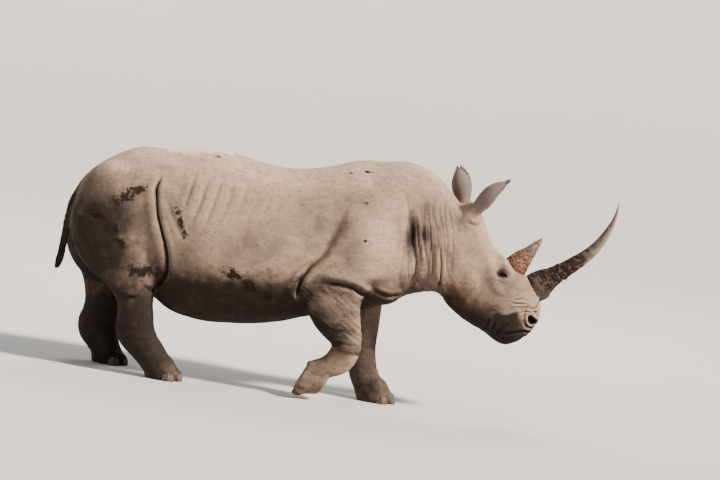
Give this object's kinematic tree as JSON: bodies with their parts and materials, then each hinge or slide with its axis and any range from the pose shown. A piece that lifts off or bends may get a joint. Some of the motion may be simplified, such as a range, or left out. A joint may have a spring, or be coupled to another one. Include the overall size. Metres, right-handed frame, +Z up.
{
  "type": "white rhinoceros model",
  "caption": "Life-size still model of a walking white rhinoceros cow with a long curved front horn, one fore foot lifted.",
  "frame": {"origin": "middle of the whole model's footprint, on the floor under the feet", "axes": "+X forward, the way the animal walks; +Y to its left side; +Z up"},
  "size_m": [3.8066, 0.9362, 1.7017],
  "materials": {
    "hide": "dry, finely cracked grey-brown hide with dust and dried mud",
    "horn": "fibrous keratin, muddy and rough at the base, worn smooth at the tip",
    "nail": "dull worn toenail",
    "eye": "wet, dark brown",
    "hair": "coarse dark tail hair"
  },
  "bodies": {
    "root": {"head": "hide", "neck": "hide", "trunk": "hide", "thigh_right": "hide", "thigh_left": "hide", "shank_right": "hide", "shank_left": "hide", "foot_hind_right": "hide", "foot_hind_left": "hide", "arm_right": "hide", "arm_left": "hide", "cannon_right": "hide", "cannon_left": "hide", "foot_fore_right": "hide", "foot_fore_left": "hide", "ear_right": "hide", "ear_left": "hide", "tail": "hide", "horn_front": "horn", "horn_rear": "horn", "eye_right": "eye", "eye_left": "eye", "tail_tuft": "hair", "nail_hind_right_inner": "nail", "nail_hind_right_middle": "nail", "nail_hind_right_outer": "nail", "nail_hind_left_inner": "nail", "nail_hind_left_middle": "nail", "nail_hind_left_outer": "nail", "nail_fore_right_inner": "nail", "nail_fore_right_middle": "nail", "nail_fore_right_outer": "nail", "nail_fore_left_inner": "nail", "nail_fore_left_middle": "nail", "nail_fore_left_outer": "nail"}
  },
  "joints": []
}
